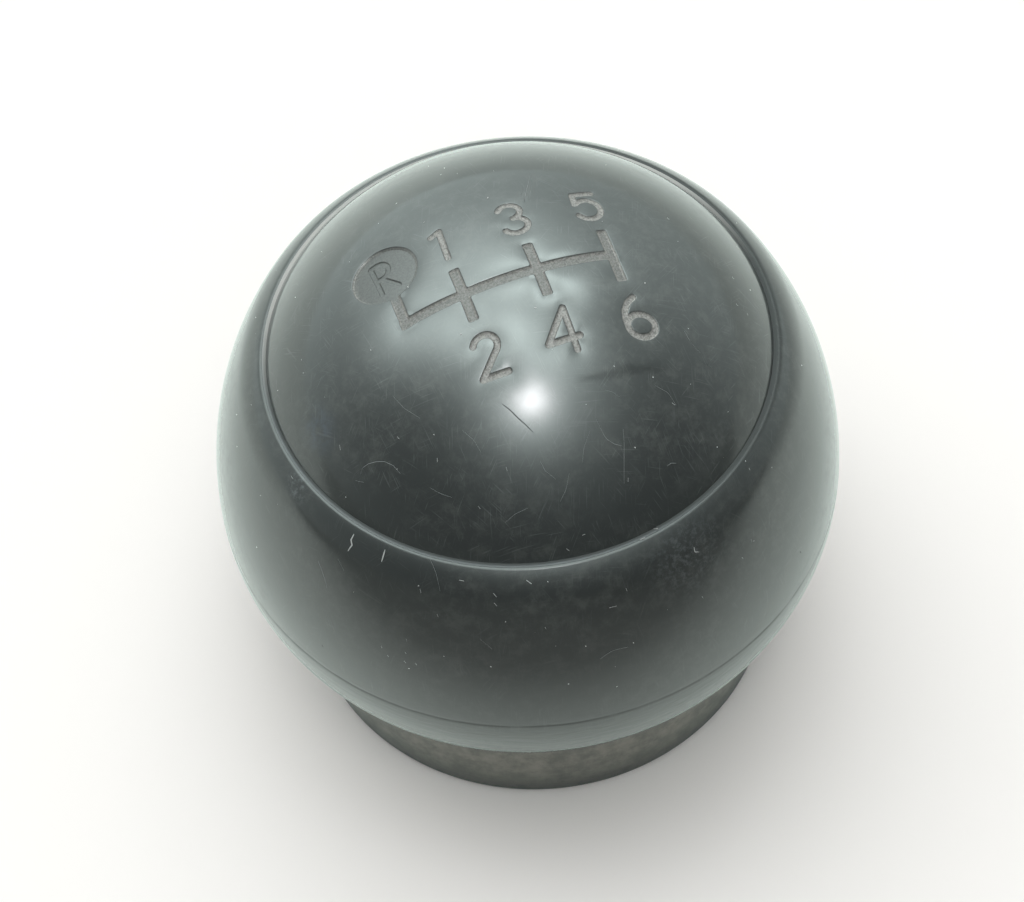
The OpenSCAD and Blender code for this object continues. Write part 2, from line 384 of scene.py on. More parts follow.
world = bpy.data.worlds.new("room")
scene.world = world
world.use_nodes = True
world.cycles.sampling_method = "NONE"
sky = Tree(world.node_tree)
way = sky.node("ShaderNodeTexCoord", out="Generated")
light = AMBIENT
for turn, rise, sharpness, radiance in LOBES:
    facing = sky.node("ShaderNodeVectorMath", way, toward(turn, rise), out="Value", operation="DOT_PRODUCT")
    lobe = ((facing - 1) * sharpness).exp() * radiance
    lamp = lobe if radiance == LOBES[0][3] else lamp
    light = lobe + light
seen, mirrored = (sky.node("ShaderNodeLightPath", out=name) for name in ("Is Camera Ray", "Is Glossy Ray"))
level = light * (PLAIN_LEVEL + (1 - PLAIN_LEVEL) * mirrored)
background = sky.nodes["Background"]
sky.feed(background.inputs["Strength"], seen + (1 - seen) * level)
tint = sky.mix(lamp / light, (0.86, 1.0, 0.97), (1.0, 0.97, 1.0))
sky.feed(background.inputs["Color"], sky.mix(mirrored, (1.0, 1.0, 1.0), tint))
print(f"sky of {len(LOBES)} lobes")

# %% Foam
foam_mesh = bpy.data.meshes.new("foam")
side = 1.5
foam_corners = [(-side, -side, 0), (side, -side, 0), (side, side, 0), (-side, side, 0)]
foam_mesh.from_pydata(foam_corners, [], [(0, 1, 2, 3)])
foam = bpy.data.objects.new("foam", foam_mesh)
scene.collection.objects.link(foam)
foam_paint = Paint("foam_paint")
x, y, z = foam_paint.parts()
front = toward(-15.5, 0)
nearer = x * front[0] + y * front[1]
# painted shade and painted reflection tint: seen in reflections only, the foam turns greener and darkens
# towards the camera and far out on the right
mirrored = foam_paint.node("ShaderNodeLightPath", out="Is Glossy Ray")
far = (1 - foam_paint.near((0, 0, 0), 350)) * x.ramp(-0.05, 0.1)
shade = (nearer.ramp(0.022, 0.08) * 0.74 + far * 0.3).low(0.85) * mirrored
pale = foam_paint.mix(mirrored, (0.975, 0.965, 0.935), (0.86, 0.96, 0.9))
foam_paint.set(base_color=foam_paint.mix(shade, pale, (0.0, 0.0, 0.0)), roughness=0.95)
foam_mesh.materials.append(foam_paint.material)

# %% [markdown]
# The ball and its collar are one moulding, so they are one closed section: the outside from the
# rim up to the seam, then the seat, the mouth and the pocket round the hub, and back along the
# recess. A mould in two halves leaves a fine line at the widest circle, cut here as a groove of
# a few hundredths of a millimetre that fades on the side where the mould closed well.

# %% Section of the ball
mouth_r = seam_r - 1.5
groove_r = mouth_r + 0.7
lip_z = ledge_z - 2.0
nose_z = round(cap_low.z, 3)
hook_groove_z = nose_z - 0.1
floor_z = recess_h + floor_t
core_draft = 0.5
hub_r = mouth_r - core_draft - 3.9
hub_top_z = round(bush_high.z, 3) + 2.6
bush_fit = 0.02
bush_r = 8.0
flange_r, flange_t = round(bush_high.x, 3), 1.6
bush_top_z = round(bush_high.z, 3)

line_half = 0.14
line_depth = 0.016
line_angle = math.degrees(line_half / flank_r)
under_angle = math.degrees(line_half / under_r)

body_section = (
    [(recess_r + recess_chamfer, 0.0)]
    + arc((collar_r - rim_round, rim_round), rim_round, -90, 0)
    + arc(fillet_c, collar_fillet, 180, 180 + fillet_angle)
    + arc(under_c, under_r, fillet_angle, -under_angle)[1:]
    + [(ball_r - line_depth, equator_h)]
    + arc(flank_c, flank_r, line_angle, flank_angle)
    + arc(shoulder_c, shoulder_r, flank_angle, seat_angle)[1:]
    + arc(seat_c, seat_round, seat_angle, 180)[1:]
    + [
        (seam_r, ledge_z), (mouth_r, ledge_z), (mouth_r, lip_z), (groove_r, lip_z),
        (groove_r, hook_groove_z), (mouth_r, hook_groove_z - 0.6), (mouth_r - core_draft, floor_z),
        (hub_r, floor_z), (hub_r - core_draft, hub_top_z), (0.0, hub_top_z), (0.0, bush_top_z),
        (bush_r + bush_fit, bush_top_z), (bush_r + bush_fit, recess_h + flange_t),
        (flange_r + bush_fit, recess_h + flange_t), (flange_r + bush_fit, recess_h),
        (recess_r, recess_h), (recess_r, recess_chamfer),
    ]
)
line_ring = body_section.index((ball_r - line_depth, equator_h))
print(f"section of {len(body_section)} points, parting line is ring {line_ring}")

# %% Ball with its collar
rings, faces = spin(body_section)
angle = np.arctan2(rings[:, line_ring, 1], rings[:, line_ring, 0])
fade = 0.6 - 0.4 * np.cos(angle - math.radians(30)) + 0.2 * np.sin(7 * angle) + 0.15 * np.sin(17 * angle)
rings[:, line_ring, :2] *= ((ball_r - line_depth * fade) / (ball_r - line_depth))[:, None]
ball = solid("ball", rings, faces)

# %% [markdown]
# The gate pattern is cut into the dome. A drawn distance field says how far each point of the
# plan is from the nearest edge of a lane or a digit, and contour lines of that field become real
# edges of the mesh. So the lips are round, the walls are steep, and the floors are flat, with no
# steps along a grid. A boolean cut would leave sharp lips that catch no light.

# %% Strokes of the digits
def bow(x, y, rx, ry, start, end):
    """Points along part of an ellipse, with the angles in degrees."""
    angles = np.radians(np.linspace(start, end, 3 + int(abs(end - start) / 15)))
    return [(x + rx * math.cos(a), y + ry * math.sin(a)) for a in angles]


GLYPHS = {
    "1": [[(-4.85, 5.12), (-4.1, 5.42), (-4.3, 2.5)]],
    "3": [bow(1.38, 4.88, 0.85, 0.78, 152, -82) + bow(1.45, 3.34, 0.95, 0.8, 78, -158)],
    "5": [[(8.14, 5.42), (6.62, 5.42), (6.48, 4.3)] + bow(7.28, 3.6, 1.0, 1.06, 128, -148)],
    "2": [bow(-4.22, -5.78, 0.93, 0.86, 158, -38) + [(-5.2, -8.0), (-3.2, -8.14)]],
    "4": [[(2.26, -4.9), (0.26, -7.34), (2.8, -7.24)], [(2.26, -4.9), (2.24, -8.22)]],
    "6": [[(7.78, -5.02), (7.2, -5.4), (6.78, -6.0), (6.6, -6.7)] + bow(7.65, -7.28, 1.05, 0.88, 172, -188)],
}
DIGIT_STROKE = 0.46
LETTER = [
    [(-9.72, 5.42), (-9.7, 2.52)],
    [(-9.72, 5.42), (-9.3, 5.46)] + bow(-9.2, 4.68, 0.68, 0.76, 78, -85) + [(-9.7, 3.88)],
    [(-9.3, 3.9), (-8.3, 2.5)],
]
LETTER_STROKE = 0.4

# %% [markdown]
# The lanes are plain bars, and the reverse mark is a disc. Where bars meet, a smooth minimum
# rounds the corner a little, as a cutter does.

# %% Distance to the pattern's edges
lane_xs = (-4.3, 1.6, 7.5)
cross_y = -1.15
lane_reach = 2.4
lane_w = 0.75
reverse_c = (-9.0, 4.0)
reverse_r = 2.55
corner = 0.12
SINK_DEPTH, SINK_REACH = 0.12, 0.7


def bar(points, low, high):
    """Signed distance to an upright rectangle with small round corners."""
    middle, size = (np.add(low, high)) / 2, np.subtract(high, low) / 2 - corner
    q = np.abs(points - middle) - size
    return np.hypot(*np.maximum(q, 0).T) + np.minimum(q.max(axis=1), 0) - corner


def strokes(points, lines, width):
    """Signed distance to a pen line of a given width along some chains of points."""
    best = np.full(len(points), np.inf)
    for line in lines:
        for a, b in zip(np.array(line[:-1]), np.array(line[1:])):
            along = np.clip((points - a) @ (b - a) / max((b - a) @ (b - a), 1e-9), 0, 1)
            best = np.minimum(best, np.hypot(*(points - a - along[:, None] * (b - a)).T))
    return best - width / 2


def gate_parts(points):
    """Signed distances to each lane and to the disc."""
    half_w = lane_w / 2
    low_y, high_y = cross_y - lane_reach, cross_y + lane_reach
    bars = [bar(points, (x - half_w, low_y), (x + half_w, high_y)) for x in lane_xs]
    cross_start = (reverse_c[0] - half_w, cross_y - half_w)
    bars.append(bar(points, cross_start, (lane_xs[-1] + half_w, cross_y + half_w)))
    bars.append(bar(points, (reverse_c[0] - half_w, cross_y - half_w), (reverse_c[0] + half_w, reverse_c[1])))
    bars.append(np.hypot(*(points - reverse_c).T) - reverse_r)
    return bars


def gate_distance(points):
    """Signed distance to the lanes and the disc, below zero inside them."""
    bars = gate_parts(points)
    best = bars[0]
    for other in bars[1:]:
        blend = np.maximum(corner - np.abs(best - other), 0) / corner
        best = np.minimum(best, other) - blend ** 2 * corner / 4
    return best


def digit_distance(points):
    """Signed distance to the strokes of the digits."""
    return strokes(points, [line for glyph in GLYPHS.values() for line in glyph], DIGIT_STROKE)


def letter_distance(points):
    """Signed distance to the strokes of the reverse letter."""
    return strokes(points, LETTER, LETTER_STROKE)


def sink(points):
    """Depth that the dome's skin sank by beside the pattern, as moulded plastic does."""
    blend = 0.3
    distances = [*gate_parts(points), digit_distance(points) + 0.25]
    near = sum(np.exp(-np.maximum(d, 0) / blend) for d in distances)
    return SINK_DEPTH * np.exp(-np.maximum(-blend * np.log(near), 0) / SINK_REACH)

# %% [markdown]
# A groove's cross section is a lip with a round edge, a steep wall and a floor with a small
# fillet. It is written once as a short list of stations, each with its distance from the edge,
# its depth and its slope. The same list places the contour lines and turns the shading.

# %% Cross section of a groove
def groove_stations(depth, lip, draft, fillet):
    """(distance, depth, slope) from the dome down to the floor."""
    lip_angles = np.radians((0, 30, 60))
    stations = [(lip * (1 - math.sin(a)), lip * (1 - math.cos(a)), -math.tan(a)) for a in lip_angles]
    wall = -(depth - lip - fillet) / draft
    stations += [(0.0, lip, wall), (-draft, depth - fillet, wall)]
    stations += [
        (-draft - fillet * (1 - math.cos(a)), depth - fillet * (1 - math.sin(a)), -1 / math.tan(a))
        for a in np.radians((30, 60))
    ]
    return stations + [(-draft - fillet, depth, 0.0)]


GATE = groove_stations(0.35 - SINK_DEPTH, 0.08, 0.07, 0.08)
DIGIT = groove_stations(0.18, 0.07, 0.05, 0.06)
MARK = groove_stations(0.12, 0.03, 0.03, 0.05)
print("stations across a lane's wall:", len(GATE))

# %% Contour lines of a distance field
def contour(xs, ys, field, level):
    """Points where a gridded field crosses a level, and the edges that join them cell by cell."""
    over = field > level
    ids, points = {}, []
    for axis in (0, 1):
        a = field[:-1, :] if axis == 0 else field[:, :-1]
        b = field[1:, :] if axis == 0 else field[:, 1:]
        flip = (a > level) != (b > level)
        for i, j in zip(*np.nonzero(flip)):
            t = (level - a[i, j]) / (b[i, j] - a[i, j])
            ids[(axis, i, j)] = len(points)
            step = xs[1] - xs[0]
            points.append((xs[i] + t * step * (axis == 0), ys[j] + t * step * (axis == 1)))
    edges = []
    mixed = over[:-1, :-1] ^ over[1:, :-1] | over[1:, :-1] ^ over[1:, 1:] | over[1:, 1:] ^ over[:-1, 1:]
    for i, j in zip(*np.nonzero(mixed)):
        sides = [(0, i, j), (1, i + 1, j), (0, i, j + 1), (1, i, j)]
        met = [ids[s] for s in sides if s in ids]
        if len(met) == 2:
            edges.append(tuple(met))
        elif over[i, j] == (field[i:i + 2, j:j + 2].mean() > level):
            edges += [(met[0], met[1]), (met[2], met[3])]
        else:
            edges += [(met[0], met[3]), (met[1], met[2])]
    return points, edges


# %% [markdown]
# All contour lines, the rim of the dome and a field of spare points go into one Delaunay
# triangulation. Each point then drops onto the sphere less its own depth. The normals are worked
# out from the same formula, so the large triangles beside a lane still shade as a true dome.

# %% Plan of the cap's top
GRID = 0.07
SPARE = 0.42
SPARE_GAP = 0.14
rim_xz = round_c + polar(cap_edge_round, round_angle)


def plan_points():
    """Points, edges, and the station of each point, for the whole top of the cap."""
    xs = np.arange(-13.0, 10.2, GRID)
    ys = np.arange(-9.6, 7.6, GRID)
    grid = np.stack(np.meshgrid(xs, ys, indexing="ij"), axis=-1).reshape(-1, 2)
    points, edges, depth = [], [], []
    for distance, stations, base in (
        (gate_distance, GATE, 0.0), (digit_distance, DIGIT, 0.0), (letter_distance, MARK, GATE[-1][1])
    ):
        field = distance(grid).reshape(len(xs), len(ys))
        for level, drop, _ in stations:
            found, joins = contour(xs, ys, field, level)
            edges += [(a + len(points), b + len(points)) for a, b in joins]
            points += found
            depth += [base + drop] * len(found)
    rim = [(rim_xz[0] * math.cos(a), rim_xz[0] * math.sin(a)) for a in 2 * np.pi * np.arange(TURNS) / TURNS]
    edges += [(len(points) + k, len(points) + (k + 1) % TURNS) for k in range(TURNS)]
    points += rim
    depth += [0.0] * TURNS
    rows = np.arange(-rim_xz[0], rim_xz[0], SPARE * math.sqrt(3) / 2)
    spare = np.array([
        (x + SPARE / 2 * (n % 2), y)
        for n, y in enumerate(rows) for x in np.arange(-rim_xz[0], rim_xz[0], SPARE)
    ])
    to_gate, to_digit, to_letter = gate_distance(spare), digit_distance(spare), letter_distance(spare)
    clear = (to_gate > GATE[0][0] + SPARE_GAP) | (to_gate < GATE[-1][0] - SPARE_GAP)
    clear &= (to_letter > MARK[0][0] + SPARE_GAP) & (to_digit > DIGIT[0][0] + SPARE_GAP)
    clear &= np.hypot(*spare.T) < rim_xz[0] - 0.25
    points += [tuple(p) for p in spare[clear]]
    depth += [GATE[-1][1] if d < 0 else 0.0 for d in to_gate[clear]]
    return points, edges, np.array(depth)


points, edges, depth = plan_points()
flat, _, triangles, origin, _, _ = delaunay_2d_cdt([Vector(p) for p in points], edges, [], 0, 1e-7, True)
flat = np.array(flat)
depth = np.array([depth[ids].mean() if len(ids) else np.nan for ids in origin])
print(f"{len(points)} points in, {len(flat)} out, {len(triangles)} triangles")
print(f"{np.isnan(depth).sum()} points to place by their distance")

# %% [markdown]
# The rest of the cap is turned: the rounded edge, the short wall in the seam, the underside and
# the hollow. Its first ring is the rim of the plan, so the two parts close into one solid.

# %% Cap
def drop_at(distances, stations):
    """Depth of a groove at a distance from its edge."""
    table = np.array(stations)[::-1]
    return np.interp(distances, table[:, 0], table[:, 1])


unplaced = np.maximum(drop_at(gate_distance(flat), GATE), drop_at(digit_distance(flat), DIGIT))
depth = np.where(np.isnan(depth), unplaced, depth)
height = dome_z + np.sqrt(dome_r ** 2 - (flat ** 2).sum(axis=1))
top_points = np.column_stack([flat, height - depth - sink(flat)])

inner_r = 16.7
inner_dome = dome_r - cap_t
inner_angle = math.degrees(math.acos(inner_r / inner_dome))
cap_section = (
    arc(round_c, cap_edge_round, round_angle, 0)
    + [(cap_r, ledge_z), (inner_r, ledge_z)]
    + arc(np.array([0, dome_z]), inner_dome, inner_angle, 90)
)
rings, side_faces = spin(cap_section, closed=False)
side_points = rings.reshape(-1, 3)
cap_points = np.concatenate([top_points, side_points])
cap_faces = [tuple(t) for t in triangles] + [tuple(f + len(top_points)) for f in side_faces]
cap = solid("cap", cap_points, cap_faces)

# %% Shading of the dome and its grooves
def slope_normals(xy):
    """Normals of the dome where the grooves' slopes tilt it."""
    step = 0.004

    def change(field):
        """Change of a field across each point, along x and along y."""
        along_x = field(xy + [step, 0]) - field(xy - [step, 0])
        along_y = field(xy + [0, step]) - field(xy - [0, step])
        return np.column_stack([along_x, along_y])

    tilt = -xy / np.sqrt(dome_r ** 2 - (xy ** 2).sum(axis=1))[:, None]
    for distance, stations in ((gate_distance, GATE), (digit_distance, DIGIT), (letter_distance, MARK)):
        turn = change(distance)
        turn /= np.maximum(np.hypot(*turn.T), 1e-9)[:, None]
        tilt -= slope_at(distance(xy), stations)[:, None] * turn
    tilt -= change(sink) / (2 * step)
    normals = np.column_stack([-tilt, np.ones(len(xy))])
    return normals / np.linalg.norm(normals, axis=1)[:, None]


def slope_at(distance, stations):
    """Slope of a groove at a distance from its edge, taken from the nearest station."""
    table = np.array(stations)
    near = np.abs(distance[:, None] - table[:, 0]).argmin(axis=1)
    slope = table[near, 2]
    return np.where((distance > table[0, 0]) | (distance < table[-1, 0]), 0.0, slope)


mesh = cap.data
corner_normals = np.empty(len(mesh.loops) * 3, dtype=np.float32)
mesh.corner_normals.foreach_get("vector", corner_normals)
corner_normals = corner_normals.reshape(-1, 3)
vertices = np.empty(len(mesh.vertices) * 3, dtype=np.float32)
mesh.vertices.foreach_get("co", vertices)
vertices = vertices.reshape(-1, 3) / MM
corners = np.empty(len(mesh.loops), dtype=np.int32)
mesh.loops.foreach_get("vertex_index", corners)
on_top = np.hypot(*vertices[:, :2].T) < rim_xz[0] - 1e-3
on_top &= vertices[:, 2] > dome_z + np.sqrt(dome_r ** 2 - (vertices[:, :2] ** 2).sum(axis=1)) - 1.0
xy = vertices[on_top, :2].astype(float)
top_normals = np.zeros((len(vertices), 3))
top_normals[on_top] = slope_normals(xy)
use = on_top[corners]
corner_normals[use] = top_normals[corners[use]]
mesh.normals_split_custom_set(corner_normals.tolist())

plan = vertices[:, :2].astype(float)
to_edge = np.minimum(gate_distance(plan), digit_distance(plan))
masks = {
    "cut": np.clip(0.5 - to_edge / 0.06, 0, 1) * on_top,
    # the wall mask marks the grooves' walls, which get painted light in the cap's paint
    "wall": np.clip(1.6 - np.abs(to_edge + 0.04) / 0.07, 0, 1) * on_top,
}
for name, mask in masks.items():
    mesh.attributes.new(name, "FLOAT", "POINT").data.foreach_set("value", mask.astype(np.float32))
print(f"{on_top.sum()} points on the dome, {(masks['cut'] > 0.5).sum()} of them in the pattern")

# %% [markdown]
# Wax and dust have filled the seam nearly to the top. The fill is a closed ring of its own, dull,
# three tenths of a millimetre wide, sloping from the cap down to the ball. The ball's rounded edge
# beside it stays clean, and that edge is what mirrors the ceiling light as one fine pale line. The
# fill's colour is painted light and shade: darker on the right and by the cap, paler at the back.

# %% Fill of the seam
fill_level = 0.95
fill_z = seat_c[1] + fill_level * seat_round
fill_depth = 0.4
fill_section = (
    seat_c + polar(seat_round, 180 - math.degrees(math.asin(fill_level))),
    (seam_r, fill_z - fill_depth),
    (cap_r, fill_z - fill_depth),
    round_c + polar(cap_edge_round, 0),
    round_c + polar(cap_edge_round, round_angle),
    polar(dome_r, round_angle + 0.08) + [0, dome_z],
)
rings, faces = spin([tuple(point) for point in fill_section])
seam_fill = solid("seam_fill", rings, faces)

# %% [markdown]
# Four hooks hold the cap and six ribs carry the hub. Each set is one shape set round the axis, so
# one small node tree serves both: it turns instances of the shape and makes them real. Count
# and start angle are its named inputs. It is run once and its result kept as plain mesh.

# %% A node tree that sets copies round the axis
def socket_id(tree, name):
    """Identifier of a tree's input by its name."""
    return next(s.identifier for s in tree.interface.items_tree if s.name == name and s.in_out == "INPUT")


def ring_tree():
    """Node tree that turns copies of its geometry round Z."""
    tree = bpy.data.node_groups.new("ring_of_copies", "GeometryNodeTree")
    tree.interface.new_socket("Geometry", in_out="INPUT", socket_type="NodeSocketGeometry")
    tree.interface.new_socket("Count", in_out="INPUT", socket_type="NodeSocketInt")
    tree.interface.new_socket("Start", in_out="INPUT", socket_type="NodeSocketFloat")
    tree.interface.new_socket("Material", in_out="INPUT", socket_type="NodeSocketMaterial")
    tree.interface.new_socket("Geometry", in_out="OUTPUT", socket_type="NodeSocketGeometry")
    add = tree.nodes.new
    entry = add("NodeGroupInput")
    leave = add("NodeGroupOutput")
    line = add("GeometryNodeMeshLine")
    place = add("GeometryNodeInstanceOnPoints")
    index = add("GeometryNodeInputIndex")
    share = add("ShaderNodeMath")
    turn = add("ShaderNodeMath")
    shift = add("ShaderNodeMath")
    spin_by = add("ShaderNodeCombineXYZ")
    real = add("GeometryNodeRealizeInstances")
    paint = add("GeometryNodeSetMaterial")
    line.inputs["Offset"].default_value = (0, 0, 0)
    share.operation, turn.operation, shift.operation = "DIVIDE", "MULTIPLY", "ADD"
    share.inputs[0].default_value = 2 * math.pi
    join = tree.links.new
    join(entry.outputs["Count"], line.inputs["Count"])
    join(line.outputs["Mesh"], place.inputs["Points"])
    join(entry.outputs["Geometry"], place.inputs["Instance"])
    join(entry.outputs["Count"], share.inputs[1])
    join(index.outputs["Index"], turn.inputs[0])
    join(share.outputs[0], turn.inputs[1])
    join(turn.outputs[0], shift.inputs[0])
    join(entry.outputs["Start"], shift.inputs[1])
    join(shift.outputs[0], spin_by.inputs["Z"])
    join(spin_by.outputs[0], place.inputs["Rotation"])
    join(place.outputs["Instances"], real.inputs["Geometry"])
    join(real.outputs["Geometry"], paint.inputs["Geometry"])
    join(entry.outputs["Material"], paint.inputs["Material"])
    join(paint.outputs["Geometry"], leave.inputs["Geometry"])
    return tree


def bake(piece, tree, **values):
    """Runs a node tree on a piece once and keeps the result as its plain mesh."""
    run = piece.modifiers.new("run", "NODES")
    run.node_group = tree
    for name, value in values.items():
        run[socket_id(tree, name)] = value
    graph = bpy.context.evaluated_depsgraph_get()
    made = bpy.data.meshes.new_from_object(piece.evaluated_get(graph))
    piece.modifiers.remove(run)
    piece.data = made
    print(f"{piece.name}: {len(made.polygons)} faces after the tree")
    return piece


# %% [markdown]
# The plastic is almost black, with a hard shine on top of a softer one: fine rubbing marks widen
# the base's highlight, and grease makes the coat uneven. The collar sits against the boot, so it
# has lost its shine. All of it is written in the knob's own coordinates, so it moves with it.

# %% Plastic of the ball
PLASTIC = (0.007, 0.008, 0.008)
HAZE = (0.05, 0.052, 0.049)
SCRATCHED = (0.13, 0.137, 0.137)
RUBBED = ((-19.9, -5.7, 36.2), (6.1, -21.2, 34.3))


def glossy_plastic(name, scratches):
    """Dark moulded plastic with a hard shine, clouded by dust and scratched as fine as hair."""
    paint = Paint(name)
    paint.set(ior=1.5, coat_ior=1.5, coat_roughness=0.09)
    cloud = paint.noise(1.4, detail=8.0, rough=0.75).ramp(0.42, 0.7)
    cloud *= paint.noise(8, detail=2.0).ramp(0.25, 0.6)
    lines = 0.0
    for turn in (35, -52, 80, 8, -20):
        long = paint.drawn_out((1, 30, 30), turn)
        hairs = paint.noise(0.08, detail=1.0, vector=long).ramp(0.62, 0.76)
        lines = hairs * paint.noise(2.5 + turn / 100).ramp(0.47, 0.62) + lines
    return paint, cloud, paint.mix(lines * scratches, paint.mix(cloud * 0.6, PLASTIC, HAZE), SCRATCHED)


body_paint, cloud, skin_colour = glossy_plastic("body_plastic", 0.12)
x, y, z = body_paint.parts()
collar = z.ramp(9.6 * MM, 8.8 * MM)
edge = z.ramp((seam_z - 0.6) * MM, (seam_z - 0.3) * MM) * x.ramp(0.0, 16 * MM, 0.5, 0.85)
parting = abs(z - equator_h * MM).ramp(0.2 * MM, 0.04 * MM) * body_paint.noise(1.5).ramp(0.3, 0.55, 0.4, 1.0)
stain = body_paint.noise(1.6, detail=5.0, rough=0.65).ramp(0.3, 0.7)
# partly stain, partly painted reflection: the collar's brownish grey stands in for the shaded foam it
# mirrors; it is mottled by the stain noise and darker towards its bottom edge
collar_stain_and_reflection = collar * (0.4 + 0.5 * stain) * z.ramp(0.5 * MM, 4.5 * MM, 0.25, 1.0)
collar_stain_and_reflection *= (z - stain * 1.4 * MM).ramp(-0.4 * MM, 0.8 * MM, 0.1, 1.0)
wrinkle = body_paint.noise(1.0, detail=2.0, vector=body_paint.drawn_out((2.2, 2.2, 0.6)))
wrinkle *= z.ramp(24 * MM, 19 * MM)
wave = body_paint.bump(wrinkle, 0.025, body_paint.bump(body_paint.noise(5, detail=1.0), 0.03))
rubbed = body_paint.noise(0.5, detail=5.0, rough=0.75).ramp(0.45, 0.65)
rubbed *= body_paint.near(RUBBED[0], 1.8) + body_paint.near(RUBBED[1], 5.0) * 0.6
# painted light: the left side of the ball, fading out below the seam, is lifted towards the haze colour
left_side_painted_light = z.ramp(36 * MM, 30 * MM) * x.ramp(14 * MM, 2 * MM) * 0.35
skin_colour = body_paint.mix(rubbed, body_paint.mix(left_side_painted_light, skin_colour, HAZE), (0.09, 0.1, 0.105))
body_paint.set(
    base_color=body_paint.mix(collar_stain_and_reflection, skin_colour, (0.25, 0.236, 0.2)), normal=wave,
    roughness=0.3 + 0.1 * cloud + 0.16 * collar + 0.5 * edge + 0.2 * parting,
    coat_weight=1 - 0.6 * collar - edge - 0.6 * parting,
)

# %% Plastic of the cap
cap_paint, cloud, skin_colour = glossy_plastic("cap_plastic", 0.24)
x, y, z = cap_paint.parts()
streak = abs(y / MM + 10.9 - cap_paint.noise(1.6, detail=3.0)).ramp(0.6, 0.0)
smudge = streak * x.ramp(0.8 * MM, 2.5 * MM) * x.ramp(9.5 * MM, 6.5 * MM)
cut, wall = (
    cap_paint.node("ShaderNodeAttribute", attribute_name=name, out="Fac") for name in ("cut", "wall")
)
sand = cap_paint.noise(0.16, detail=4.0, rough=0.75).ramp(0.34, 0.64, 0.35, 1.0)
disc = cap_paint.near((*reverse_c, cap_top - 2.3), 3.4).ramp(0.0, 0.2)
grit = cut * (1 - 0.7 * disc)
bruise = cap_paint.near((-17.3, -3.6, 39.7), 2.6) * cap_paint.noise(1.0, detail=4.0, rough=0.7).ramp(0.3, 0.7)
skin_colour = cap_paint.mix(bruise, skin_colour, (0.03, 0.04, 0.06))
# painted light: the grooves' walls get a paler colour than their gritty floors, lifting the shade that falls
# in them
grit_and_painted_wall_light = cap_paint.mix(wall, (0.23, 0.235, 0.222), (0.46, 0.46, 0.435))
cap_paint.set(
    base_color=cap_paint.mix(grit * sand, skin_colour, grit_and_painted_wall_light),
    roughness=0.28 + 0.1 * cloud + 0.3 * cut, coat_weight=1 - 0.94 * grit - 0.7 * smudge,
    normal=cap_paint.bump(cap_paint.noise(3.2, detail=1.0), 0.01),
)

# %% Brass, the seam's wax with its painted light and shade, and dust
brass_paint = Paint("bush_brass")
grain = brass_paint.noise(0.8, detail=3.0)
brass_paint.set(
    base_color=brass_paint.mix(grain, (0.62, 0.44, 0.2), (0.74, 0.55, 0.27)),
    metallic=1.0, roughness=0.28 + 0.16 * grain,
)
seam_fill_paint = Paint("seam_fill_painted_shading")
x, y, z = seam_fill_paint.parts()
# painted light and shade: dark grey at the front, near black on the right and where the fill rises to the
# cap, pale grey towards the back
painted_seam_fill_shading = seam_fill_paint.mix(x.ramp(0.0, 13 * MM), (0.15, 0.168, 0.172), (0.015, 0.017, 0.017))
painted_seam_fill_shading = seam_fill_paint.mix(z.ramp((fill_z + 0.05) * MM, fill_z * MM), (0.01, 0.011, 0.011), painted_seam_fill_shading)
seam_fill_paint.set(base_color=seam_fill_paint.mix(y.ramp(0.0, 14 * MM), painted_seam_fill_shading, (0.4, 0.41, 0.39)), roughness=0.7)
mark_colours = {
    "lint": (0.42, 0.44, 0.43), "fleck": (0.75, 0.77, 0.75),
    "scratch": (0.26, 0.28, 0.28), "dark": (0.004, 0.004, 0.004),
}
mark_paints = {}
for name, colour in mark_colours.items():
    mark_paints[name] = Paint(name)
    mark_paints[name].set(base_color=(*colour, 1.0), roughness=0.8)

# %% Hooks, key and ribs
ring_of_copies = ring_tree()


def wedge(name, section, turn, sharp=25.0, steps=16):
    """Closed piece of a ring: a section swept through a turn in degrees, centred on +X."""
    x, z = np.array(section).T
    angle = np.radians(np.linspace(-turn / 2, turn / 2, steps + 1))
    rings = np.stack([
        np.outer(np.cos(angle), x), np.outer(np.sin(angle), x), np.tile(z, (steps + 1, 1))
    ], axis=-1)
    count = len(x)
    faces = [
        (k * count + j, (k + 1) * count + j, (k + 1) * count + (j + 1) % count, k * count + (j + 1) % count)
        for k in range(steps) for j in range(count)
    ]
    faces += [tuple(range(count))[::-1], tuple(range(steps * count, (steps + 1) * count))]
    return solid(name, rings, faces, sharp)


def block(name, low, high):
    """Box between two corners."""
    points = [(x, y, z) for x in (low[0], high[0]) for y in (low[1], high[1]) for z in (low[2], high[2])]
    faces = [(0, 1, 3, 2), (4, 6, 7, 5), (0, 4, 5, 1), (2, 3, 7, 6), (0, 2, 6, 4), (1, 5, 7, 3)]
    return solid(name, points, faces)


skirt_r = inner_r + 1.5
root_z = ledge_z + 0.9
tip_x = groove_r - 0.1
hook = wedge("cap_hooks", [
    (inner_r, root_z), (inner_r, nose_z), (inner_r + 1, nose_z), (tip_x, nose_z + 1.733),
    (tip_x, lip_z - 0.1), (skirt_r, lip_z - 0.1), (skirt_r, root_z),
], 22.0)
bake(hook, ring_of_copies, Count=4, Start=math.radians(45), Material=cap_paint.material)

slot_turn = math.degrees(1.0 / skirt_r)
skirt_z = ledge_z - 1.4
skirt = wedge("cap_skirt", [
    (inner_r, root_z), (inner_r, skirt_z), (skirt_r, skirt_z), (skirt_r, root_z)
], 90 - 22.0 - 2 * slot_turn)
bake(skirt, ring_of_copies, Count=4, Start=0.0, Material=cap_paint.material)

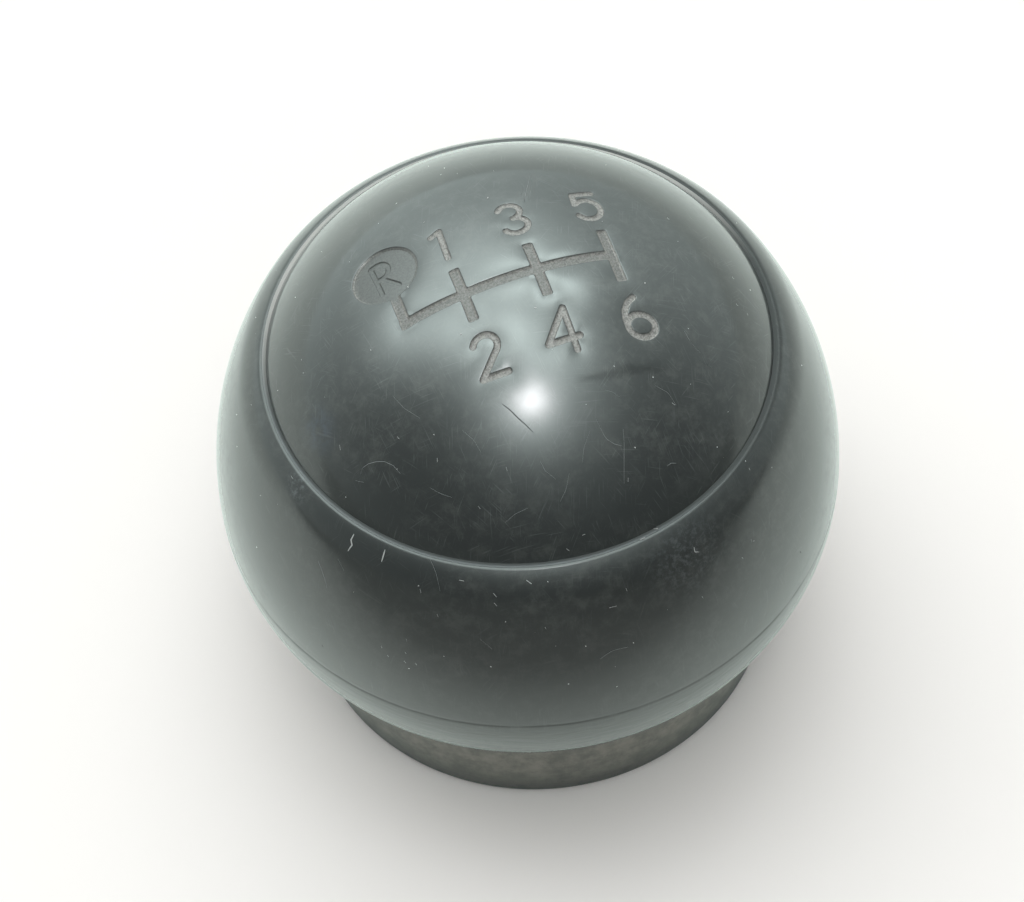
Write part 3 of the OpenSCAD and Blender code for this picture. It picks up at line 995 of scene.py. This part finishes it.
key = block("cap_key", (-1.5, skirt_r - 0.75, skirt_z), (1.5, skirt_r + 1.0, root_z))
key.data.materials.append(cap_paint.material)

rib = block("body_ribs", (hub_r - 0.9, -0.9, floor_z - 0.4), (mouth_r + 0.4, 0.9, hub_top_z - 4.0))
bake(rib, ring_of_copies, Count=6, Start=math.radians(30), Material=body_paint.material)

# %% [markdown]
# The bush is pressed into the hub. Two knurled bands stop it from turning, and the groove
# between them stops it from being pulled out. Its thread is a real M12 helix of 1.25 mm pitch: a
# spiral curve with a small ridge swept along it, made by a node tree.

# %% Bush and thread
thread_r, pitch, thread_l = 6.0, 1.25, 16.0
minor_r = thread_r - 0.5413 * pitch
core_r = bush_r - 0.9
band_l = (bush_top_z - recess_h - flange_t - 3.0) / 2
drill_z = recess_h + thread_l + minor_r / math.tan(math.radians(59))
bush_section = [
    (thread_r + 0.2, recess_h), (flange_r - 0.2, recess_h), (flange_r, recess_h + 0.2),
    (flange_r, recess_h + flange_t), (core_r, recess_h + flange_t), (core_r, bush_top_z), (0.0, bush_top_z),
    (0.0, drill_z), (minor_r, recess_h + thread_l),
    (thread_r, recess_h + thread_l - 0.6), (thread_r, recess_h + 0.2),
]
rings, faces = spin(bush_section, 144)
bush = solid("bush", rings, faces)
bush.data.materials.append(brass_paint.material)

root_r = core_r - 0.2
knurl_parts = []
for low in (recess_h + flange_t, bush_top_z - band_l):
    band_top = low + band_l
    rings, faces = spin([(root_r, low), (bush_r, low), (bush_r, band_top), (root_r, band_top)], 72)
    rings[1::2, 1:3, :2] *= (bush_r - 0.4) / bush_r
    knurl_parts.append((rings, faces))
for k, (rings, faces) in enumerate(knurl_parts):
    band = solid(f"bush_knurl_{k + 1}", rings, faces, 12.0)
    band.data.materials.append(brass_paint.material)


def helix_tree():
    """Node tree that sweeps a ridge along a spiral, with radius, pitch and turns as inputs."""
    tree = bpy.data.node_groups.new("thread_helix", "GeometryNodeTree")
    tree.interface.new_socket("Geometry", in_out="INPUT", socket_type="NodeSocketGeometry")
    for name in ("Radius", "Height", "Turns"):
        tree.interface.new_socket(name, in_out="INPUT", socket_type="NodeSocketFloat")
    tree.interface.new_socket("Material", in_out="INPUT", socket_type="NodeSocketMaterial")
    tree.interface.new_socket("Geometry", in_out="OUTPUT", socket_type="NodeSocketGeometry")
    add, join = tree.nodes.new, tree.links.new
    entry = add("NodeGroupInput")
    leave = add("NodeGroupOutput")
    spiral = add("GeometryNodeCurveSpiral")
    upright = add("GeometryNodeSetCurveNormal")
    outline = add("GeometryNodeMeshToCurve")
    sweep = add("GeometryNodeCurveToMesh")
    real = add("GeometryNodeRealizeInstances")
    paint = add("GeometryNodeSetMaterial")
    spiral.inputs["Resolution"].default_value = 64
    upright.mode = "Z_UP"
    sweep.inputs["Fill Caps"].default_value = True
    join(entry.outputs["Turns"], spiral.inputs["Rotations"])
    join(entry.outputs["Radius"], spiral.inputs["Start Radius"])
    join(entry.outputs["Radius"], spiral.inputs["End Radius"])
    join(entry.outputs["Height"], spiral.inputs["Height"])
    join(spiral.outputs["Curve"], upright.inputs["Curve"])
    join(upright.outputs["Curve"], sweep.inputs["Curve"])
    join(entry.outputs["Geometry"], outline.inputs["Mesh"])
    join(outline.outputs["Curve"], sweep.inputs["Profile Curve"])
    join(sweep.outputs["Mesh"], real.inputs["Geometry"])
    join(real.outputs["Geometry"], paint.inputs["Geometry"])
    join(entry.outputs["Material"], paint.inputs["Material"])
    join(paint.outputs["Geometry"], leave.inputs["Geometry"])
    return tree


ridge_mesh = bpy.data.meshes.new("bush_thread")
ridge_h = thread_r + 0.04 - minor_r
ridge = np.array([(0.0, 0.56), (0.0, -0.56), (ridge_h, -0.16), (ridge_h, 0.16)])
ridge_mesh.from_pydata([(u * MM, v * MM, 0) for u, v in ridge], [(0, 1), (1, 2), (2, 3), (3, 0)], [])
thread = bpy.data.objects.new("bush_thread", ridge_mesh)
scene.collection.objects.link(thread)
turns = (thread_l - 2.0) / pitch
bake(
    thread, helix_tree(), Radius=(thread_r + 0.04) * MM, Height=turns * pitch * MM, Turns=turns,
    Material=brass_paint.material,
)
thread.data.transform(Matrix.Translation((0, 0, (recess_h + 0.8) * MM)))
spread_r = [math.hypot(v.co.x, v.co.y) / MM for v in thread.data.vertices]
print(f"thread ridge from radius {min(spread_r):.2f} to {max(spread_r):.2f} mm")

# %% [markdown]
# A used knob carries lint, scratches and specks. Those that the eye finds first are drawn one by
# one as a chain of points seen from above, with a width. Each is a thin ribbon on the surface,
# and the profile gives its height. Everything is a few hundredths of a millimetre thick.

# %% Marks drawn one by one
MARKS = {
    "lint": [
        (0.22, (-6.4, -19.82), (-6.12, -20.12)), (0.14, (-8.98, -19.54), (-8.83, -19.78)),
        (0.12, (-9.11, -19.95), (-8.95, -20.15)), (0.16, (-11.1, -17.86), (-10.78, -18.07)),
        (0.12, (-0.91, -22.59), (-0.32, -22.62)), (0.1, (-13.94, -16.85), (-13.95, -17.04)),
        (0.1, (-13.22, -18.39), (-13.2, -18.53)), (0.1, (0.67, -22.08), (0.7, -22.2)),
        (0.2, (3.97, -19.31), (4.22, -19.5)),
        (0.18, (-15.51, -13.56), (-15.73, -13.79), (-16.01, -14.05)),
        (0.2, (-17.27, -11.37), (-17.6, -11.55), (-17.64, -11.86), (-18.03, -11.94)),
        (0.1, (6.63, -20.8), (6.62, -21.02), (6.95, -21.01)),
        (0.13, (-15.99, -18.06), (-15.95, -18.15)), (0.13, (-15.48, -18.76), (-15.37, -18.89)),
        (0.12, (-17.5, -16.71), (-17.47, -16.8)), (0.11, (-15.72, -17.8), (-15.69, -17.9)),
        (0.13, (-17.24, -17.21), (-17.13, -17.35)), (0.12, (-16.19, -18.19), (-16.08, -18.33)),
        (0.12, (-5.57, -13.78), (-5.59, -14.02)), (0.12, (-10.11, -11.1), (-10.19, -11.32)),
        (0.11, (-16.29, -5.84), (-16.34, -6.18)), (0.1, (-12.32, -8.31), (-12.24, -8.52)),
        (0.1, (-8.3, -14.93), (-8.22, -15.14)), (0.1, (-5.89, -22.09), (-5.85, -22.17)),
        (0.12, (10.48, -20.86), (10.54, -20.91)), (0.12, (12.75, -16.46), (12.78, -16.58)),
        (0.1, (11.54, -20.0), (11.59, -20.1)), (0.1, (6.53, -22.64), (6.59, -22.7)),
        (0.14, (7.99, -12.76), (8.18, -12.9)), (0.11, (2.99, -16.69), (2.9, -16.9)),
        (0.15, (13.37, 2.71), (13.46, 2.5)), (0.15, (16.79, -2.3), (16.9, -2.45)),
        (0.13, (16.15, -4.84), (16.26, -4.97)), (0.1, (16.86, -5.35), (16.88, -5.5)),
        (0.12, (-20.14, -4.67), (-20.08, -4.98)), (0.12, (-2.9, -19.06), (-2.72, -19.2)),
        (0.12, (-1.5, -18.78), (-1.27, -18.78)), (0.12, (2.66, -19.9), (3.08, -19.85)),
    ],
    "scratch": [
        (0.06, (2.87, 5.56), (3.36, 6.55), (3.88, 7.6), (4.42, 8.74)),
        (0.04, (3.31, 5.66), (3.85, 6.79), (4.43, 8.29)), (0.03, (2.89, 6.33), (3.5, 7.45)),
        (0.05, (-15.56, -8.57), (-15.3, -8.35), (-14.82, -8.43), (-14.25, -8.71),
         (-13.72, -9.09), (-13.21, -9.71), (-12.91, -10.44)),
        (0.06, (-20.17, -10.52), (-20.11, -10.96), (-20.07, -11.62), (-20.08, -12.0)),
        (0.05, (1.87, -13.05), (2.0, -13.72), (2.17, -14.31), (2.65, -14.71), (3.2, -14.93)),
        (0.04, (3.65, -13.96), (3.46, -14.67), (3.13, -15.51), (2.81, -16.33), (2.56, -16.96)),
        (0.05, (6.2, -16.37), (6.58, -16.23), (6.97, -16.25)), (0.06, (-16.01, -8.62), (-15.53, -9.13)),
        (0.035, (3.21, -11.38), (3.75, -11.62), (4.15, -12.03)),
        (0.03, (-11.2, -12.38), (-10.64, -13.05), (-9.91, -13.68)),
        (0.03, (-6.75, -16.49), (-5.89, -16.37), (-4.86, -16.41)),
        (0.03, (-2.47, -16.83), (-1.8, -16.35), (-1.25, -15.57)),
        (0.035, (7.09, -11.59), (7.93, -12.11), (8.26, -12.9)),
        (0.035, (10.84, -7.79), (11.01, -8.6), (11.52, -9.38)), (0.035, (11.3, -9.95), (12.12, -10.31)),
        (0.04, (-18.84, -11.71), (-18.67, -12.5)),
        (0.03, (-12.65, -15.77), (-12.54, -16.73), (-12.62, -17.7)),
        (0.03, (-10.66, -20.68), (-9.98, -21.34)),
        (0.03, (-2.29, -24.0), (-1.29, -23.94), (-0.01, -24.0)),
        (0.03, (-7.81, -10.43), (-7.22, -11.4), (-7.0, -12.29)),
        (0.03, (-11.71, -5.59), (-11.22, -6.93), (-10.38, -8.2)),
        (0.03, (-3.06, -14.31), (-2.92, -14.96), (-2.31, -15.63)),
        (0.03, (1.18, -13.6), (0.39, -14.42), (-0.1, -15.27)),
    ],
    "dark": [
        (0.13, (-4.47, -10.08), (-4.05, -10.67), (-3.68, -11.37), (-3.28, -11.98), (-2.94, -12.56)),
        (0.28, (-21.32, -12.74), (-21.28, -12.84)), (0.25, (16.12, -18.71), (16.21, -18.69)),
    ],
}


def skin(x, y):
    """Height and outward normal of the knob's upper side at a place seen from above."""
    r = np.hypot(x, y)
    dome = dome_z + np.sqrt(np.maximum(dome_r ** 2 - r ** 2, 0))
    side_angle = np.arccos(np.clip((r - flank_c[0]) / flank_r, -1, 1))
    flank = equator_h + flank_r * np.sin(side_angle)
    roll = np.clip((r - shoulder_c[0]) / shoulder_r, -1, 1)
    shoulder = shoulder_c[1] + shoulder_r * np.sqrt(1 - roll ** 2)
    on_flank = side_angle < math.radians(flank_angle)
    z = np.where(r < cap_r, dome, np.where(on_flank, flank, shoulder))
    beside = np.where(on_flank, side_angle, np.arccos(roll))
    rise = np.where(r < cap_r, np.arccos(np.minimum(r / dome_r, 1)), beside)
    r = np.maximum(r, 1e-9)
    return z, np.stack([np.cos(rise) * x / r, np.cos(rise) * y / r, np.sin(rise)], axis=-1)


def ribbon(line, width, lift=0.015):
    """Points and faces of a flat closed ribbon along a chain of places on the knob."""
    line = np.array(line, dtype=float)
    if len(line) > 2:
        t = np.linspace(0, len(line) - 1, 4 * len(line))
        line = np.column_stack([np.interp(t, np.arange(len(line)), line[:, k]) for k in (0, 1)])
    z, normal = skin(line[:, 0], line[:, 1])
    centre = np.column_stack([line, z])
    along = np.gradient(centre, axis=0)
    across = np.cross(normal, along)
    across /= np.linalg.norm(across, axis=1)[:, None]
    taper = width / 2 * np.sqrt(1 - np.linspace(-0.9, 0.9, len(line)) ** 2)[:, None]
    up = normal * lift
    rows = [centre - across * taper - up, centre + up, centre + across * taper - up]
    points = np.stack(rows, axis=1).reshape(-1, 3)
    faces = [
        (3 * k + a, 3 * k + 3 + a, 3 * k + 3 + b, 3 * k + b)
        for k in range(len(line) - 1) for a, b in ((0, 1), (1, 2), (2, 0))
    ]
    return points, faces + [(0, 1, 2), (3 * len(line) - 1, 3 * len(line) - 2, 3 * len(line) - 3)]


mark_pieces = []
for kind, marks in MARKS.items():
    points, faces = [], []
    for width, *line in marks:
        found, joins = ribbon(line, width)
        faces += [tuple(len(points) + v for v in face) for face in joins]
        points += found.tolist()
    piece = solid(f"marks_{kind}", points, faces, 60.0)
    piece.data.materials.append(mark_paints[kind].material)
    mark_pieces.append(piece)

# %% [markdown]
# Smaller dust lies everywhere, so a node tree scatters it. It strews points on a copy of the
# knob's upper side, turns one fleck along each normal, and varies its size. The seed is fixed,
# so each run gives the same dust. The copy leaves out the very top, where flecks would stand
# above the knob's own height.

# %% Scattered dust
def dust_tree():
    """Node tree that strews one shape over a surface; density, size and seed are its inputs."""
    tree = bpy.data.node_groups.new("strewn_dust", "GeometryNodeTree")
    face = tree.interface.new_socket
    face("Geometry", in_out="INPUT", socket_type="NodeSocketGeometry")
    face("Fleck", in_out="INPUT", socket_type="NodeSocketObject")
    face("Density", in_out="INPUT", socket_type="NodeSocketFloat")
    face("Smallest", in_out="INPUT", socket_type="NodeSocketFloat")
    face("Largest", in_out="INPUT", socket_type="NodeSocketFloat")
    face("Seed", in_out="INPUT", socket_type="NodeSocketInt")
    face("Material", in_out="INPUT", socket_type="NodeSocketMaterial")
    face("Geometry", in_out="OUTPUT", socket_type="NodeSocketGeometry")
    add, join = tree.nodes.new, tree.links.new
    entry = add("NodeGroupInput")
    leave = add("NodeGroupOutput")
    strew = add("GeometryNodeDistributePointsOnFaces")
    shape = add("GeometryNodeObjectInfo")
    place = add("GeometryNodeInstanceOnPoints")
    size = add("FunctionNodeRandomValue")
    spin_by = add("FunctionNodeRandomValue")
    turn = add("FunctionNodeRotateRotation")
    twist = add("FunctionNodeEulerToRotation")
    real = add("GeometryNodeRealizeInstances")
    paint = add("GeometryNodeSetMaterial")
    spin_by.data_type = "FLOAT_VECTOR"
    spin_by.inputs[0].default_value, spin_by.inputs[1].default_value = (0, 0, 0), (0, 0, 2 * math.pi)
    turn.rotation_space = "LOCAL"
    join(entry.outputs["Geometry"], strew.inputs["Mesh"])
    join(entry.outputs["Density"], strew.inputs["Density"])
    join(entry.outputs["Seed"], strew.inputs["Seed"])
    join(entry.outputs["Fleck"], shape.inputs["Object"])
    join(strew.outputs["Points"], place.inputs["Points"])
    join(shape.outputs["Geometry"], place.inputs["Instance"])
    join(spin_by.outputs[0], twist.inputs[0])
    join(strew.outputs["Rotation"], turn.inputs["Rotation"])
    join(twist.outputs[0], turn.inputs["Rotate By"])
    join(turn.outputs[0], place.inputs["Rotation"])
    join(entry.outputs["Smallest"], size.inputs[2])
    join(entry.outputs["Largest"], size.inputs[3])
    join(size.outputs[1], place.inputs["Scale"])
    join(place.outputs["Instances"], real.inputs["Geometry"])
    join(real.outputs["Geometry"], paint.inputs["Geometry"])
    join(entry.outputs["Material"], paint.inputs["Material"])
    join(paint.outputs["Geometry"], leave.inputs["Geometry"])
    return tree


fleck_mesh = bpy.data.meshes.new("fleck")
work = bmesh.new()
bmesh.ops.create_icosphere(work, subdivisions=1, radius=MM)
bmesh.ops.scale(work, vec=(0.09, 0.045, 0.022), verts=work.verts)
work.to_mesh(fleck_mesh)
work.free()
fleck = bpy.data.objects.new("fleck", fleck_mesh)

upper_side = (
    arc(np.array([0, dome_z]), dome_r, 85, round_angle)
    + arc(shoulder_c, shoulder_r, seat_angle - 1, flank_angle) + arc(flank_c, flank_r, flank_angle, 7)[1:]
)
rings, faces = spin(upper_side, 96, closed=False)
dust_mesh = bpy.data.meshes.new("dust")
dust_mesh.from_pydata((rings.reshape(-1, 3) * MM).tolist(), [], [tuple(map(int, f)) for f in faces])
dust_mesh.flip_normals()
dust = bpy.data.objects.new("dust", dust_mesh)
scene.collection.objects.link(dust)
bake(
    dust, dust_tree(), Fleck=fleck, Density=26000.0, Smallest=0.25, Largest=0.9, Seed=4,
    Material=mark_paints["fleck"].material,
)
bpy.data.objects.remove(fleck)

# %% Riding, slots and the hand-over
for piece, paint in ((ball, body_paint), (cap, cap_paint), (seam_fill, seam_fill_paint)):
    piece.data.materials.append(paint.material)
for piece in (ball, rib):
    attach(piece, "root")
for piece in (cap, hook, skirt, key):
    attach(piece, "root")
for piece in (*mark_pieces, dust, seam_fill):
    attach(piece, "root")
for name in ("bush", "bush_knurl_1", "bush_knurl_2", "bush_thread"):
    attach(bpy.data.objects[name], "root")
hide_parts("knob_body")
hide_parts("top_cap")
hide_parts("threaded_insert")
